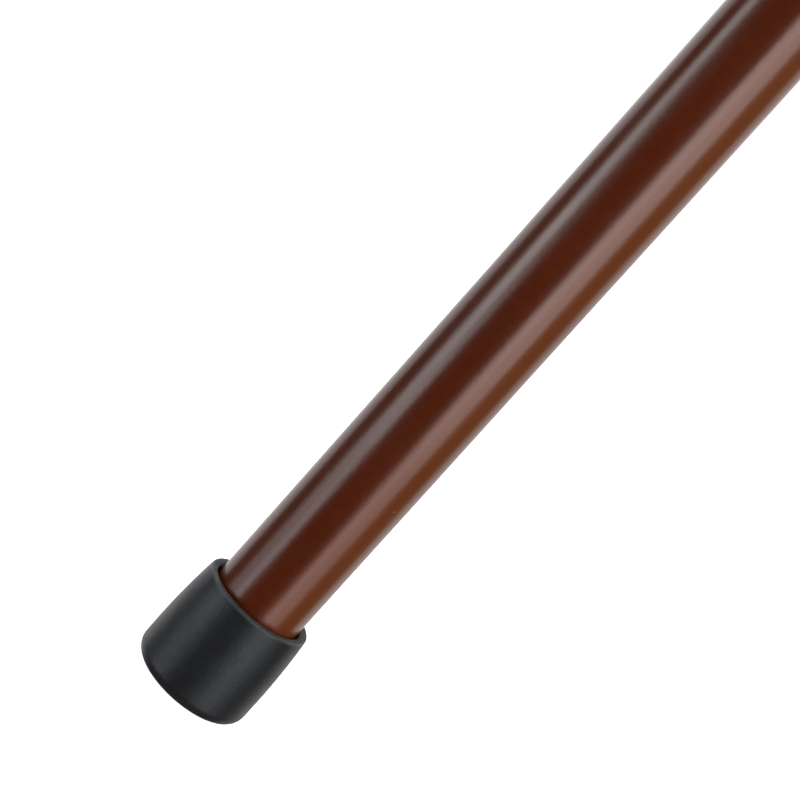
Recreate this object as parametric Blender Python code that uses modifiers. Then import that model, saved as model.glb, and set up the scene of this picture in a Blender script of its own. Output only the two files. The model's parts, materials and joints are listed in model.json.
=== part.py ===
"""Underarm crutch of brown lacquered aluminium tube.

A plain leg tube on a rubber ferrule telescopes in the frame's centre tube and locks with a
snap button.  Two bowed side tubes carry the hand grip, on a bolt with a wing nut, and the
underarm cushion.

Origin: centre of the ferrule's flat base.  +Z up, side tubes spread along X, button on -Y.
"""

import math

import bmesh
import bpy
from mathutils import Matrix

MM = 0.001
GAP = 0.3 * MM
WELD = 0.01 * MM

# Leg
LEG_R = 11.1 * MM
LEG_WALL = 1.4 * MM
LEG_BOTTOM = 10.0 * MM
LEG_TOP = 460.0 * MM
LEG_PLUG_DEPTH = 15.0 * MM
LEG_PLUG_FLANGE = 2.5 * MM

# Rubber ferrule on the leg's end
FERRULE_HEIGHT = 25.9 * MM
FERRULE_MAX_R = 14.55 * MM
FERRULE_RIM_R = 13.45 * MM
FERRULE_BELLY_Z = 8.0 * MM
FERRULE_CORNER_R = 4.6 * MM
FERRULE_FLOOR = 7.7 * MM
FERRULE_LIP = 0.7 * MM
TREAD_GROOVES = ((5.2 * MM, 6.4 * MM), (8.0 * MM, 9.2 * MM))
TREAD_DEPTH = 1.2 * MM
WASHER_THICKNESS = 1.5 * MM

# Height adjustment: a snap button in the leg, a row of holes in the centre tube
HOLE_PITCH = 25.4 * MM
HOLE_STEPS = (-3, -2, -1, 0, 1, 2, 3)
BUTTON_Z = 370.0 * MM
BUTTON_R = 3.7 * MM
BUTTON_HOLE_R = 4.0 * MM
BUTTON_FLANGE_R = 4.9 * MM
BUTTON_PROUD = 3.0 * MM
SPRING_WIDTH = 6.0 * MM
SPRING_THICKNESS = 0.7 * MM

# Centre tube of the frame
OUTER_R = 12.7 * MM
OUTER_WALL = 1.3 * MM
OUTER_BOTTOM = 254.0 * MM
OUTER_TOP = 662.0 * MM
COLLAR_HEIGHT = 34.0 * MM
COLLAR_WALL = 2.2 * MM
COLLAR_LIP = 3.5 * MM

# Bowed side tubes
BOW_R = 9.5 * MM
BOW_WALL = 1.2 * MM
BOW_IN_X = 25.0 * MM
BOW_OUT_X = 66.0 * MM
BOW_BOTTOM = 540.0 * MM
BOW_TOP = 1198.0 * MM
BEND_START = 658.0 * MM
BEND_R = 80.0 * MM
BEND_ANGLE = math.radians(30)

# Yokes that join the side tubes to the centre tube, each with one cross bolt
YOKE_ZS = (560.0 * MM, 640.0 * MM)
YOKE_HEIGHT = 28.0 * MM
YOKE_MID_R = 15.7 * MM
YOKE_END_R = 12.6 * MM
YOKE_SEAT_X = 36.0 * MM
YOKE_SEAT_R = 6.5 * MM
BOLT_R = 3.0 * MM
BOLT_HOLE_R = 3.25 * MM
BOLT_HEAD_R = 5.2 * MM
BOLT_HEAD_HEIGHT = 3.0 * MM
NUT_R = 5.77 * MM
NUT_HEIGHT = 5.0 * MM

# Hand grip
GRIP_Z = 864.0 * MM
GRIP_HALF = 51.0 * MM
GRIP_CORE_R = 9.0 * MM
GRIP_FLANGE_R = 14.0 * MM
GRIP_FLANGE = 2.5 * MM
FOAM_END_R = 15.6 * MM
FOAM_MID_R = 17.0 * MM
GRIP_SADDLE_R = 13.5 * MM
GRIP_SADDLE_END_X = 61.5 * MM
GRIP_WASHER_R = 7.5 * MM
GRIP_BOLT_END_X = 92.0 * MM
GRIP_HEAD_R = 5.8 * MM
GRIP_HEAD_HEIGHT = 4.2 * MM
WING_HUB_R = 5.4 * MM
WING_HUB_HEIGHT = 6.5 * MM
WING_REACH = 15.0 * MM
WING_EAR_R = 4.2 * MM
WING_THICKNESS = 2.4 * MM

# Underarm saddle and cushion, both bent to one centre above the crutch
CUSHION_MID_TOP = 1226.0 * MM
CUSHION_ARC_R = 420.0 * MM
CUSHION_THICKNESS = 36.0 * MM
CUSHION_HALF_X = 112.0 * MM
CUSHION_HALF_Y = 21.0 * MM
CUSHION_ROUND = 9.0 * MM
BAR_DEPTH = 13.0 * MM
BAR_THICKNESS = 12.0 * MM
BAR_HALF_X = 98.0 * MM
BAR_HALF_Y = 11.0 * MM
BAR_ROUND = 2.0 * MM
SOCKET_R = 12.6 * MM
SOCKET_BOTTOM = 1165.0 * MM
SOCKET_SCREW_Z = 1178.0 * MM
SCREW_R = 2.0 * MM
SCREW_HOLE_R = 2.2 * MM
SCREW_HEAD_R = 3.8 * MM
SCREW_HEAD_HEIGHT = 2.2 * MM

# Facets round each circle
TURNED_STEPS = 24
FERRULE_STEPS = 28
BORE_SIDES = 24
HOLE_SIDES = 12
SMALL_STEPS = 16

ALONG_Z = (0, 0, 0)
ALONG_X = (0, math.pi / 2, 0)
ALONG_MINUS_X = (0, -math.pi / 2, 0)
ALONG_MINUS_Y = (math.pi / 2, 0, 0)
UPRIGHT = (math.pi / 2, 0, 0)
ACROSS_BOLT = (math.pi / 2, math.pi / 2, 0)
SMOOTH_ANGLE = math.radians(35)

for old_object in list(bpy.data.objects):
    bpy.data.objects.remove(old_object, do_unlink=True)

PARTS = bpy.data.collections.new("underarm_crutch")
CUTTERS = bpy.data.collections.new("cutters")
for new_collection in (PARTS, CUTTERS):
    bpy.context.scene.collection.children.link(new_collection)


def material(name, color, roughness, metallic=0.0):
    """A Principled BSDF material of one finish."""
    result = bpy.data.materials.new(name)
    result.use_nodes = True
    shader = result.node_tree.nodes["Principled BSDF"]
    shader.inputs["Base Color"].default_value = (*color, 1.0)
    shader.inputs["Roughness"].default_value = roughness
    shader.inputs["Metallic"].default_value = metallic
    return result


LACQUER = material("brown_lacquer", (0.075, 0.015, 0.006), 0.30)
RUBBER = material("black_rubber", (0.016, 0.016, 0.018), 0.55)
PLASTIC = material("black_plastic", (0.022, 0.022, 0.023), 0.42)
FOAM = material("grip_foam", (0.028, 0.028, 0.030), 0.85)
CUSHION = material("cushion_skin", (0.030, 0.030, 0.032), 0.70)
STEEL = material("zinc_steel", (0.55, 0.56, 0.57), 0.32, 1.0)
SPRING_STEEL = material("spring_steel", (0.36, 0.37, 0.38), 0.30, 1.0)


# ---------------------------------------------------------------- tools

def spaced(start, end, count):
    """count values from start to end, both included."""
    return [start + (end - start) * i / (count - 1) for i in range(count)]


def arc(centre, radius, start, end, count):
    """Points along a circular arc, angles in radians."""
    return [
        (centre[0] + radius * math.cos(a), centre[1] + radius * math.sin(a))
        for a in spaced(start, end, count)
    ]


def add(obj, finish=None, location=(0, 0, 0), rotation=ALONG_Z):
    """Place an object, as a part when it has a finish and as a cutter when it has none."""
    obj.location = location
    obj.rotation_euler = rotation
    if finish:
        obj.data.materials.append(finish)
        PARTS.objects.link(obj)
    else:
        obj.hide_render = True
        obj.display_type = "WIRE"
        CUTTERS.objects.link(obj)
    return obj


def turned(name, profile, finish, closed=False, steps=TURNED_STEPS,
           location=(0, 0, 0), rotation=ALONG_Z):
    """Revolve (radius, height) points about local Z; a closed profile makes a ring."""
    mesh = bpy.data.meshes.new(name)
    edges = [(i, i + 1) for i in range(len(profile) - 1)]
    if closed:
        edges.append((len(profile) - 1, 0))
    mesh.from_pydata([(r, 0.0, z) for r, z in profile], edges, [])
    obj = add(bpy.data.objects.new(name, mesh), finish, location, rotation)
    screw = obj.modifiers.new("turn", "SCREW")
    screw.axis = "Z"
    screw.angle = 2 * math.pi
    screw.steps = steps
    screw.render_steps = steps
    screw.use_merge_vertices = True
    screw.merge_threshold = WELD
    return obj


def ring(name, inner_r, outer_r, bottom, top, finish, **placing):
    """A plain tube or washer about local Z."""
    profile = [(inner_r, top), (outer_r, top), (outer_r, bottom), (inner_r, bottom)]
    return turned(name, profile, finish, closed=True, **placing)


def rods(name, radius, half_length, centres, rotation, sides=HOLE_SIDES):
    """Cutters: equal cylinders about the given centres."""
    bm = bmesh.new()
    bmesh.ops.create_cone(
        bm, cap_ends=True, segments=sides, radius1=radius, radius2=radius, depth=2 * half_length
    )
    # half a facet's turn keeps the rods' edges off the edges of the tubes they cut
    bmesh.ops.rotate(bm, verts=bm.verts, matrix=Matrix.Rotation(math.pi / sides, 3, "Z"))
    rod = bpy.data.meshes.new(name)
    bm.to_mesh(rod)
    bm.free()
    cutters = []
    for centre in centres:
        cutters.append(add(bpy.data.objects.new(name, rod), location=centre, rotation=rotation))
    return cutters


def welded(obj):
    """Replace a curve object by a mesh object of the same name and place."""
    bpy.context.view_layer.update()
    depsgraph = bpy.context.evaluated_depsgraph_get()
    mesh = bpy.data.meshes.new_from_object(obj.evaluated_get(depsgraph))
    bm = bmesh.new()
    bm.from_mesh(mesh)
    bmesh.ops.remove_doubles(bm, verts=bm.verts, dist=WELD)
    bm.to_mesh(mesh)
    bm.free()
    name, home = obj.name, obj.users_collection[0]
    place, is_cutter = obj.matrix_world.copy(), obj.hide_render
    bpy.data.objects.remove(obj)
    solid = bpy.data.objects.new(name, mesh)
    solid.matrix_world = place
    if is_cutter:
        solid.hide_render = True
        solid.display_type = "WIRE"
    home.objects.link(solid)
    return solid


def flat(name, outline, half_depth, finish, rounding=0.0, rounding_steps=0,
         location=(0, 0, 0), rotation=ALONG_Z):
    """Extrude a closed outline both ways along local Z, with rounded rims if asked."""
    curve = bpy.data.curves.new(name, "CURVE")
    curve.dimensions = "2D"
    curve.fill_mode = "BOTH"
    curve.extrude = half_depth - rounding
    curve.bevel_depth = rounding
    curve.bevel_resolution = rounding_steps
    curve.offset = -rounding
    spline = curve.splines.new("POLY")
    spline.points.add(len(outline) - 1)
    for point, (x, y) in zip(spline.points, outline):
        point.co = (x, y, 0.0, 1.0)
    spline.use_cyclic_u = True
    return welded(add(bpy.data.objects.new(name, curve), finish, location, rotation))


def combine(target, operation, tools):
    """Boolean each tool into the target."""
    for tool in tools:
        boolean = target.modifiers.new(operation.lower(), "BOOLEAN")
        boolean.operation = operation
        boolean.solver = "EXACT"
        boolean.object = tool
    return target


# ---------------------------------------------------------------- leg

def ferrule_profile():
    """Half section of the ferrule: socket, rim, swelling side, rounded corner, grooved tread."""
    socket_r = LEG_R + GAP
    fall = FERRULE_HEIGHT - FERRULE_LIP - FERRULE_BELLY_Z
    profile = [
        (0.0, FERRULE_FLOOR),
        (socket_r, FERRULE_FLOOR),
        (socket_r, FERRULE_HEIGHT - FERRULE_LIP),
        (socket_r + FERRULE_LIP, FERRULE_HEIGHT),
        (FERRULE_RIM_R - FERRULE_LIP, FERRULE_HEIGHT),
    ]
    for z in spaced(FERRULE_HEIGHT - FERRULE_LIP, FERRULE_BELLY_Z, 5):
        share = (z - FERRULE_BELLY_Z) / fall
        profile.append((FERRULE_MAX_R - (FERRULE_MAX_R - FERRULE_RIM_R) * share**2, z))
    corner = (FERRULE_MAX_R - FERRULE_CORNER_R, FERRULE_CORNER_R)
    profile += arc(corner, FERRULE_CORNER_R, 0.0, -math.pi / 2, 5)
    for inner, outer in reversed(TREAD_GROOVES):
        profile += [(outer, 0.0), (outer, TREAD_DEPTH), (inner, TREAD_DEPTH), (inner, 0.0)]
    profile.append((0.0, 0.0))
    return profile


def make_leg():
    """Ferrule, its washer, the leg tube and the plug that guides the tube's top."""
    bore_r = LEG_R - LEG_WALL
    washer_bottom = FERRULE_FLOOR + GAP
    turned("ferrule", ferrule_profile(), RUBBER, steps=FERRULE_STEPS)
    ring("ferrule_washer", BOLT_HOLE_R, LEG_R - GAP, washer_bottom,
         washer_bottom + WASHER_THICKNESS, STEEL)
    tube = ring("leg_tube", bore_r, LEG_R, LEG_BOTTOM, LEG_TOP, LACQUER)
    button_hole = rods("leg_button_hole", BUTTON_HOLE_R, LEG_R / 2,
                       [(0, -LEG_R, BUTTON_Z)], ALONG_MINUS_Y)
    combine(tube, "DIFFERENCE", button_hole)
    plug_r = bore_r - GAP
    flange_bottom = LEG_TOP + GAP
    turned("leg_plug", [
        (0.0, flange_bottom + LEG_PLUG_FLANGE),
        (LEG_R - GAP, flange_bottom + LEG_PLUG_FLANGE),
        (LEG_R, flange_bottom + LEG_PLUG_FLANGE - GAP),
        (LEG_R, flange_bottom),
        (plug_r, flange_bottom),
        (plug_r, LEG_TOP - LEG_PLUG_DEPTH),
        (0.0, LEG_TOP - LEG_PLUG_DEPTH),
    ], PLASTIC)


def make_button():
    """Snap button, turned about its own press axis, and the V spring behind it."""
    tip = OUTER_R + BUTTON_PROUD
    flange_top = 8.0 * MM
    flange_bottom = 6.8 * MM
    dome = 2.0 * MM
    profile = [(0.0, tip), (BUTTON_R * 0.5, tip - dome * 0.14), (BUTTON_R * 0.85, tip - dome * 0.5)]
    profile += [(BUTTON_R, tip - dome), (BUTTON_R, flange_top), (BUTTON_FLANGE_R, flange_top)]
    profile += [(BUTTON_FLANGE_R, flange_bottom), (0.0, flange_bottom)]
    turned("snap_button", profile, STEEL, steps=SMALL_STEPS,
           location=(0, 0, BUTTON_Z), rotation=ALONG_MINUS_Y)

    bend_z = BUTTON_Z - 46.0 * MM
    bend_r = 4.0 * MM
    back_y = 8.5 * MM
    front_y = -(flange_bottom - SPRING_THICKNESS)
    pad = 6.0 * MM
    route = [(back_y, BUTTON_Z + pad)]
    route += arc((back_y - bend_r, bend_z), bend_r, 0.0, -math.pi, 7)
    route += [(front_y, BUTTON_Z - pad), (front_y, BUTTON_Z + pad)]
    bm = bmesh.new()
    edge_pairs = [
        [bm.verts.new((side * SPRING_WIDTH / 2, y, z)) for side in (-1, 1)] for y, z in route
    ]
    for (a, b), (c, d) in zip(edge_pairs, edge_pairs[1:]):
        bm.faces.new((a, b, d, c))
    mesh = bpy.data.meshes.new("button_spring")
    bm.to_mesh(mesh)
    bm.free()
    spring = add(bpy.data.objects.new("button_spring", mesh), SPRING_STEEL)
    leaf = spring.modifiers.new("leaf", "SOLIDIFY")
    leaf.thickness = SPRING_THICKNESS
    leaf.offset = 0.0


# ---------------------------------------------------------------- frame

def cross_holes():
    """Cutters for the yoke bolts and for the grip bolt's row of holes, along X."""
    reach = BOW_OUT_X + 2 * BOW_R
    yoke = rods("yoke_bolt_hole", BOLT_HOLE_R, reach, [(0, 0, z) for z in YOKE_ZS], ALONG_X)
    zs = [GRIP_Z + step * HOLE_PITCH for step in HOLE_STEPS]
    grip = rods("grip_bolt_hole", BOLT_HOLE_R, reach, [(0, 0, z) for z in zs], ALONG_X)
    return yoke, grip


def make_centre_tube(bolt_holes):
    """Centre tube with its row of button holes, the collar at its mouth and the cap on top."""
    bore_r = OUTER_R - OUTER_WALL
    tube = ring("centre_tube", bore_r, OUTER_R, OUTER_BOTTOM, OUTER_TOP, LACQUER)
    holes = rods("height_hole", BUTTON_HOLE_R, OUTER_R / 2,
                 [(0, -OUTER_R, BUTTON_Z + step * HOLE_PITCH) for step in HOLE_STEPS],
                 ALONG_MINUS_Y)
    combine(tube, "DIFFERENCE", holes + bolt_holes)

    inner_r = OUTER_R + GAP
    outer_r = inner_r + COLLAR_WALL
    lip_bottom = OUTER_BOTTOM - GAP - COLLAR_LIP
    top = lip_bottom + COLLAR_HEIGHT
    edge = 0.8 * MM
    turned("tube_collar", [
        (inner_r, top),
        (outer_r - edge, top),
        (outer_r, top - edge),
        (outer_r, lip_bottom + 2 * edge),
        (outer_r - 2 * edge, lip_bottom),
        (bore_r, lip_bottom),
        (bore_r, OUTER_BOTTOM - GAP),
        (inner_r, OUTER_BOTTOM - GAP),
    ], PLASTIC, closed=True)

    cap_top = OUTER_TOP + 4.0 * MM
    cap_depth = 9.0 * MM
    turned("centre_tube_cap", [
        (0.0, cap_top),
        (OUTER_R * 0.5, cap_top - 0.5 * MM),
        (OUTER_R * 0.85, cap_top - 1.6 * MM),
        (OUTER_R, OUTER_TOP + 1.2 * MM),
        (OUTER_R, OUTER_TOP + GAP),
        (bore_r - GAP, OUTER_TOP + GAP),
        (bore_r - GAP, OUTER_TOP - cap_depth),
        (0.0, OUTER_TOP - cap_depth),
    ], PLASTIC)


def bow_route(side):
    """Axis of a side tube: straight, an S of two equal arcs, straight."""
    bend_out = 2 * BEND_R * (1 - math.cos(BEND_ANGLE))
    slant = (BOW_OUT_X - BOW_IN_X - bend_out) / math.sin(BEND_ANGLE)
    lower_centre = (BOW_IN_X + BEND_R, BEND_START)
    lower = arc(lower_centre, BEND_R, math.pi, math.pi - BEND_ANGLE, 5)
    end_x, end_z = lower[-1]
    start_x = end_x + slant * math.sin(BEND_ANGLE)
    start_z = end_z + slant * math.cos(BEND_ANGLE)
    upper_centre = (BOW_OUT_X - BEND_R, start_z + BEND_R * math.sin(BEND_ANGLE))
    upper = arc(upper_centre, BEND_R, -BEND_ANGLE, 0.0, 5)
    assert abs(upper[0][0] - start_x) < WELD
    points = [(BOW_IN_X, BOW_BOTTOM)] + lower + upper + [(BOW_OUT_X, BOW_TOP)]
    return [(side * x, 0.0, z) for x, z in points]


def make_side_tube(side, word, bolt_holes):
    """One bowed side tube, drilled for the yoke bolts, the grip bolt and the saddle screw."""
    name = f"{word}_side_tube"
    curve = bpy.data.curves.new(name, "CURVE")
    curve.dimensions = "3D"
    curve.bevel_depth = BOW_R
    curve.bevel_resolution = 6
    route = bow_route(side)
    spline = curve.splines.new("POLY")
    spline.points.add(len(route) - 1)
    for point, place in zip(spline.points, route):
        point.co = (*place, 1.0)
    tube = welded(add(bpy.data.objects.new(name, curve), LACQUER))
    wall = tube.modifiers.new("wall", "SOLIDIFY")
    wall.thickness = BOW_WALL
    wall.offset = -1.0
    screw_hole = rods("saddle_screw_hole", SCREW_HOLE_R, SOCKET_R / 2,
                      [(side * BOW_OUT_X, -SOCKET_R, SOCKET_SCREW_Z)], ALONG_MINUS_Y)
    combine(tube, "DIFFERENCE", bolt_holes + screw_hole)

    plug_r = BOW_R - BOW_WALL - GAP
    plug_top = BOW_BOTTOM + 12.0 * MM
    flange = 2.5 * MM
    turned(f"{word}_tube_plug", [
        (0.0, plug_top),
        (plug_r, plug_top),
        (plug_r, BOW_BOTTOM - GAP),
        (BOW_R, BOW_BOTTOM - GAP),
        (BOW_R, BOW_BOTTOM - flange / 2),
        (BOW_R * 0.8, BOW_BOTTOM - flange),
        (0.0, BOW_BOTTOM - flange),
    ], PLASTIC, steps=SMALL_STEPS, location=(side * BOW_IN_X, 0, 0))
    return screw_hole


def yoke_outline():
    """Plan of a yoke: arcs about the three tubes, joined by their common tangents."""
    lean = math.asin((YOKE_MID_R - YOKE_END_R) / BOW_IN_X)
    quarter = math.pi / 2
    right = arc((BOW_IN_X, 0.0), YOKE_END_R, lean - quarter, quarter - lean, 11)
    back = arc((0.0, 0.0), YOKE_MID_R, quarter - lean, quarter + lean, 3)
    left = [(-x, -y) for x, y in right]
    front = [(-x, -y) for x, y in back]
    return right + back + left + front


def make_yokes(bolt_holes):
    """Two moulded yokes with their cross bolts and nuts."""
    middle_bore = rods("yoke_middle_bore", OUTER_R + GAP, OUTER_TOP, [(0, 0, 0)],
                       ALONG_Z, BORE_SIDES)
    side_bores = rods("yoke_side_bore", BOW_R + GAP, OUTER_TOP,
                      [(-BOW_IN_X, 0, 0), (BOW_IN_X, 0, 0)], ALONG_Z, BORE_SIDES)
    seat_half = 3.0 * MM
    seat_x = YOKE_SEAT_X + seat_half
    for word, z in zip(("lower", "upper"), YOKE_ZS):
        yoke = flat(f"{word}_yoke", yoke_outline(), YOKE_HEIGHT / 2, PLASTIC,
                    rounding=1.2 * MM, location=(0, 0, z))
        seats = rods("yoke_bolt_seat", YOKE_SEAT_R, seat_half,
                     [(-seat_x, 0, z), (seat_x, 0, z)], ALONG_X, SMALL_STEPS)
        combine(yoke, "DIFFERENCE", middle_bore + side_bores + seats + bolt_holes)

        under_head = YOKE_SEAT_X + GAP
        bolt_end = under_head + NUT_HEIGHT + 0.8 * MM
        turned(f"{word}_yoke_bolt", [
            (0.0, under_head + BOLT_HEAD_HEIGHT),
            (BOLT_HEAD_R * 0.6, under_head + BOLT_HEAD_HEIGHT * 0.85),
            (BOLT_HEAD_R * 0.9, under_head + BOLT_HEAD_HEIGHT * 0.5),
            (BOLT_HEAD_R, under_head),
            (BOLT_R, under_head),
            (BOLT_R, -bolt_end),
            (0.0, -bolt_end),
        ], STEEL, steps=SMALL_STEPS, location=(0, 0, z), rotation=ALONG_MINUS_X)
        hex_nut(f"{word}_yoke_nut", (under_head + NUT_HEIGHT / 2, 0, z))


def hex_nut(name, centre):
    """A hexagon nut with its bore along X."""
    bm = bmesh.new()
    bmesh.ops.create_cone(
        bm, cap_ends=True, segments=6, radius1=NUT_R, radius2=NUT_R, depth=NUT_HEIGHT
    )
    mesh = bpy.data.meshes.new(name)
    bm.to_mesh(mesh)
    bm.free()
    nut = add(bpy.data.objects.new(name, mesh), STEEL, centre, ALONG_X)
    bore = rods("nut_bore", BOLT_R + GAP, NUT_HEIGHT, [centre], ALONG_X, SMALL_STEPS)
    combine(nut, "DIFFERENCE", bore)


# ---------------------------------------------------------------- hand grip

def make_grip():
    """Grip core and foam, the saddles at its ends, and the bolt through both side tubes."""
    core_end = GRIP_HALF - GAP
    flange_in = core_end - GRIP_FLANGE
    turned("grip_core", [
        (BOLT_HOLE_R, core_end),
        (GRIP_FLANGE_R, core_end),
        (GRIP_FLANGE_R, flange_in),
        (GRIP_CORE_R, flange_in),
        (GRIP_CORE_R, -flange_in),
        (GRIP_FLANGE_R, -flange_in),
        (GRIP_FLANGE_R, -core_end),
        (BOLT_HOLE_R, -core_end),
    ], PLASTIC, closed=True, location=(0, 0, GRIP_Z), rotation=ALONG_X)

    foam_half = flange_in - GAP
    edge = 1.5 * MM
    barrel = []
    for x in spaced(foam_half - edge, edge - foam_half, 7):
        barrel.append((FOAM_MID_R - (FOAM_MID_R - FOAM_END_R) * (x / foam_half) ** 2, x))
    foam = [(GRIP_CORE_R + GAP, foam_half), (FOAM_END_R - edge, foam_half)] + barrel
    foam += [(FOAM_END_R - edge, -foam_half), (GRIP_CORE_R + GAP, -foam_half)]
    turned("grip_foam", foam, FOAM, closed=True, location=(0, 0, GRIP_Z), rotation=ALONG_X)

    groove_half = 2 * GRIP_SADDLE_R
    for side, word in ((-1, "left"), (1, "right")):
        saddle = ring(f"{word}_grip_saddle", BOLT_HOLE_R, GRIP_SADDLE_R, GRIP_HALF,
                      GRIP_SADDLE_END_X, PLASTIC, location=(0, 0, GRIP_Z),
                      rotation=ALONG_X if side > 0 else ALONG_MINUS_X)
        groove = rods("saddle_groove", BOW_R + GAP, groove_half,
                      [(side * BOW_OUT_X, 0, GRIP_Z)], ALONG_Z, BORE_SIDES)
        combine(saddle, "DIFFERENCE", groove)

    washer_in = BOW_OUT_X + BOW_R + GAP
    washer_out = washer_in + WASHER_THICKNESS
    ring("bolt_head_washer", BOLT_HOLE_R, GRIP_WASHER_R, washer_in, washer_out, STEEL,
         steps=SMALL_STEPS, location=(0, 0, GRIP_Z), rotation=ALONG_MINUS_X)
    ring("nut_washer", BOLT_HOLE_R, GRIP_WASHER_R, washer_in, washer_out, STEEL,
         steps=SMALL_STEPS, location=(0, 0, GRIP_Z), rotation=ALONG_X)
    under_head = washer_out + GAP
    turned("grip_bolt", [
        (0.0, under_head + GRIP_HEAD_HEIGHT),
        (GRIP_HEAD_R * 0.5, under_head + GRIP_HEAD_HEIGHT * 0.92),
        (GRIP_HEAD_R * 0.85, under_head + GRIP_HEAD_HEIGHT * 0.6),
        (GRIP_HEAD_R, under_head + GRIP_HEAD_HEIGHT * 0.2),
        (GRIP_HEAD_R, under_head),
        (BOLT_R, under_head),
        (BOLT_R, -GRIP_BOLT_END_X),
        (0.0, -GRIP_BOLT_END_X),
    ], STEEL, steps=SMALL_STEPS, location=(0, 0, GRIP_Z), rotation=ALONG_MINUS_X)
    make_wing_nut(under_head)


def make_wing_nut(base_x):
    """Wing nut about the grip bolt's axis: a tapered hub, two ears and a through bore."""
    hub_top = base_x + WING_HUB_HEIGHT
    nut = turned("wing_nut", [
        (0.0, hub_top),
        (WING_HUB_R * 0.82, hub_top),
        (WING_HUB_R, base_x),
        (0.0, base_x),
    ], STEEL, steps=SMALL_STEPS, location=(0, 0, GRIP_Z), rotation=ALONG_X)
    # an ear's outline: X is across the bolt, Y is along it
    ear_foot = base_x + 1.0 * MM
    ear_centre = (WING_REACH - WING_EAR_R, base_x + 9.0 * MM)
    ear = [(WING_HUB_R * 0.5, ear_foot), (WING_HUB_R, ear_foot)]
    ear += arc(ear_centre, WING_EAR_R, -math.pi / 4, math.pi * 0.8, 7)
    ear.append((WING_HUB_R * 0.5, base_x + WING_HUB_HEIGHT * 0.9))
    mirrored_ear = [(-x, y) for x, y in reversed(ear)]
    ears = [
        flat("wing_nut_ear", outline, WING_THICKNESS / 2, None,
             location=(0, 0, GRIP_Z), rotation=ACROSS_BOLT)
        for outline in (ear, mirrored_ear)
    ]
    bore = rods("wing_nut_bore", BOLT_R + GAP, WING_HUB_HEIGHT * 2,
                [(hub_top, 0, GRIP_Z)], ALONG_X, SMALL_STEPS)
    combine(nut, "UNION", ears)
    combine(nut, "DIFFERENCE", bore)


# ---------------------------------------------------------------- underarm rest

def bent_bar(mid_top, thickness, half_x):
    """Side outline of a band of one thickness, bent to the cushion's centre, with round ends."""
    centre = (0.0, CUSHION_MID_TOP + CUSHION_ARC_R)
    inner_r = centre[1] - mid_top
    end_r = thickness / 2
    middle_r = inner_r + end_r
    swing = math.asin((half_x - end_r) / middle_r)
    down = -math.pi / 2
    outline = arc(centre, inner_r + thickness, down - swing, down + swing, 11)
    end = (middle_r * math.sin(swing), centre[1] - middle_r * math.cos(swing))
    outline += arc(end, end_r, down + swing, down + swing + math.pi, 7)[1:]
    outline += arc(centre, inner_r, down + swing, down - swing, 11)[1:]
    outline += arc((-end[0], end[1]), end_r, -down - swing, -down - swing + math.pi, 7)[1:-1]
    return outline


def make_underarm_rest(screw_holes):
    """Moulded saddle with a socket for each side tube, its screws, and the cushion over it."""
    bar_top = CUSHION_MID_TOP - BAR_DEPTH
    saddle = flat("underarm_saddle", bent_bar(bar_top, BAR_THICKNESS, BAR_HALF_X), BAR_HALF_Y,
                  PLASTIC, rounding=BAR_ROUND, rotation=UPRIGHT)
    pocket = flat("bar_pocket",
                  bent_bar(bar_top + GAP, BAR_THICKNESS + 2 * GAP, BAR_HALF_X + GAP),
                  BAR_HALF_Y + GAP, None, rounding=BAR_ROUND, rotation=UPRIGHT)
    cushion = flat("underarm_cushion",
                   bent_bar(CUSHION_MID_TOP, CUSHION_THICKNESS, CUSHION_HALF_X),
                   CUSHION_HALF_Y, CUSHION, rounding=CUSHION_ROUND, rounding_steps=2,
                   rotation=UPRIGHT)

    socket_top = bar_top - BAR_THICKNESS / 2
    half = (socket_top - SOCKET_BOTTOM) / 2
    bore_half = (BOW_TOP + GAP - SOCKET_BOTTOM) / 2 + WELD
    xs = (-BOW_OUT_X, BOW_OUT_X)
    middles = [(x, 0, socket_top - half) for x in xs]
    bore_middles = [(x, 0, BOW_TOP + GAP - bore_half) for x in xs]
    sockets = rods("saddle_socket", SOCKET_R, half, middles, ALONG_Z, BORE_SIDES)
    openings = rods("socket_opening", SOCKET_R + GAP, half, middles, ALONG_Z, BORE_SIDES)
    bores = rods("socket_bore", BOW_R + GAP, bore_half, bore_middles, ALONG_Z, BORE_SIDES)
    combine(saddle, "UNION", sockets)
    combine(saddle, "DIFFERENCE", bores + screw_holes)
    combine(cushion, "DIFFERENCE", [pocket] + openings)

    under_head = SOCKET_R + GAP
    tip = BOW_R - BOW_WALL - 3.0 * MM
    for x, word in zip(xs, ("left", "right")):
        turned(f"{word}_saddle_screw", [
            (0.0, under_head + SCREW_HEAD_HEIGHT),
            (SCREW_HEAD_R * 0.6, under_head + SCREW_HEAD_HEIGHT * 0.85),
            (SCREW_HEAD_R * 0.95, under_head + SCREW_HEAD_HEIGHT * 0.4),
            (SCREW_HEAD_R, under_head),
            (SCREW_R, under_head),
            (SCREW_R, tip),
            (0.0, tip),
        ], STEEL, steps=16, location=(x, 0, SOCKET_SCREW_Z), rotation=ALONG_MINUS_Y)


# ---------------------------------------------------------------- assembly

def settled_mesh(obj):
    """An object's evaluated mesh, welded and shaded smooth."""
    depsgraph = bpy.context.evaluated_depsgraph_get()
    mesh = bpy.data.meshes.new_from_object(obj.evaluated_get(depsgraph))
    bm = bmesh.new()
    bm.from_mesh(mesh)
    bmesh.ops.remove_doubles(bm, verts=bm.verts, dist=WELD)
    bm.to_mesh(mesh)
    bm.free()
    mesh.shade_smooth()
    mesh.set_sharp_from_angle(angle=SMOOTH_ANGLE)
    return mesh


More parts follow.
